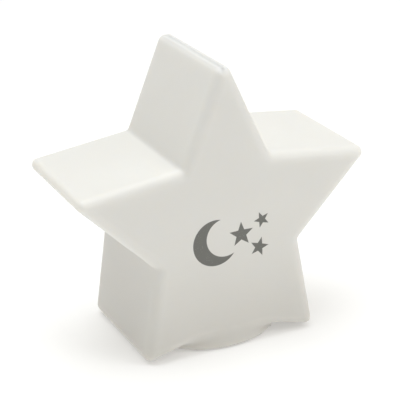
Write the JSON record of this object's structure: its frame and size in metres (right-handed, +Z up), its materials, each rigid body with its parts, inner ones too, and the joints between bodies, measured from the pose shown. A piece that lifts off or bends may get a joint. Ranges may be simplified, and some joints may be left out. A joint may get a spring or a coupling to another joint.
{
  "type": "star-shaped night light",
  "caption": "Soft five-pointed star lamp on a round base with a colour-changing LED, button cells, a slide switch and a screwed battery door.",
  "frame": {"origin": "on the surface the light stands on, under the middle of the star", "axes": "+Z up, +X along the star's width, -Y out of the printed front face"},
  "size_m": [0.1048, 0.0506, 0.1008],
  "materials": {
    "milky_vinyl": "soft matt translucent vinyl",
    "white_plastic": "fine moulded texture",
    "black_plastic": "moulded",
    "screw_steel": "zinc plated",
    "switch_steel": "tin plated sheet",
    "cell_steel": "nickel plated",
    "tinned_metal": "tin plated",
    "board_green": "solder mask",
    "laminate_brown": "pressed laminate",
    "clear_epoxy": "clear cast",
    "resistor_tan": "lacquered",
    "red_insulation": "extruded",
    "black_insulation": "extruded"
  },
  "bodies": {
    "lamp": {"star_shell": "milky_vinyl", "base_housing": "white_plastic", "base_plate": "white_plastic", "housing_screw_1": "screw_steel", "housing_screw_2": "screw_steel", "housing_screw_3": "screw_steel", "circuit_board": "board_green", "board_screw_1": "screw_steel", "board_screw_2": "screw_steel", "led": "clear_epoxy", "led_lead_1": "tinned_metal", "led_lead_2": "tinned_metal", "resistor": "resistor_tan", "switch_case": "switch_steel", "switch_insulator": "laminate_brown", "switch_terminal_1": "tinned_metal", "switch_terminal_2": "tinned_metal", "switch_terminal_3": "tinned_metal", "button_cell_1": "cell_steel", "button_cell_2": "cell_steel", "button_cell_3": "cell_steel", "contact_positive": "tinned_metal", "contact_negative": "tinned_metal", "contact_spring": "tinned_metal", "wire_red": "red_insulation", "wire_black": "black_insulation"},
    "slider": {"switch_knob": "black_plastic"},
    "door": {"battery_door": "white_plastic"},
    "lock_screw": {"door_screw": "screw_steel"}
  },
  "joints": [
    {"name": "switch_slide", "type": "slide", "parent": "lamp", "child": "slider", "axis": [1, 0, 0], "range_m": [0, 0.002]},
    {"name": "door_tilt", "type": "hinge", "parent": "lamp", "child": "door", "pos_m": [-0.0119, -0.0066, 0.00085], "axis": [0, 1, 0], "range_deg": [0, 60]},
    {"name": "screw_turn", "type": "hinge", "parent": "door", "child": "lock_screw", "pos_m": [0.0132, -0.0066, 0.00015], "axis": [0, 0, 1], "continuous": true}
  ]
}
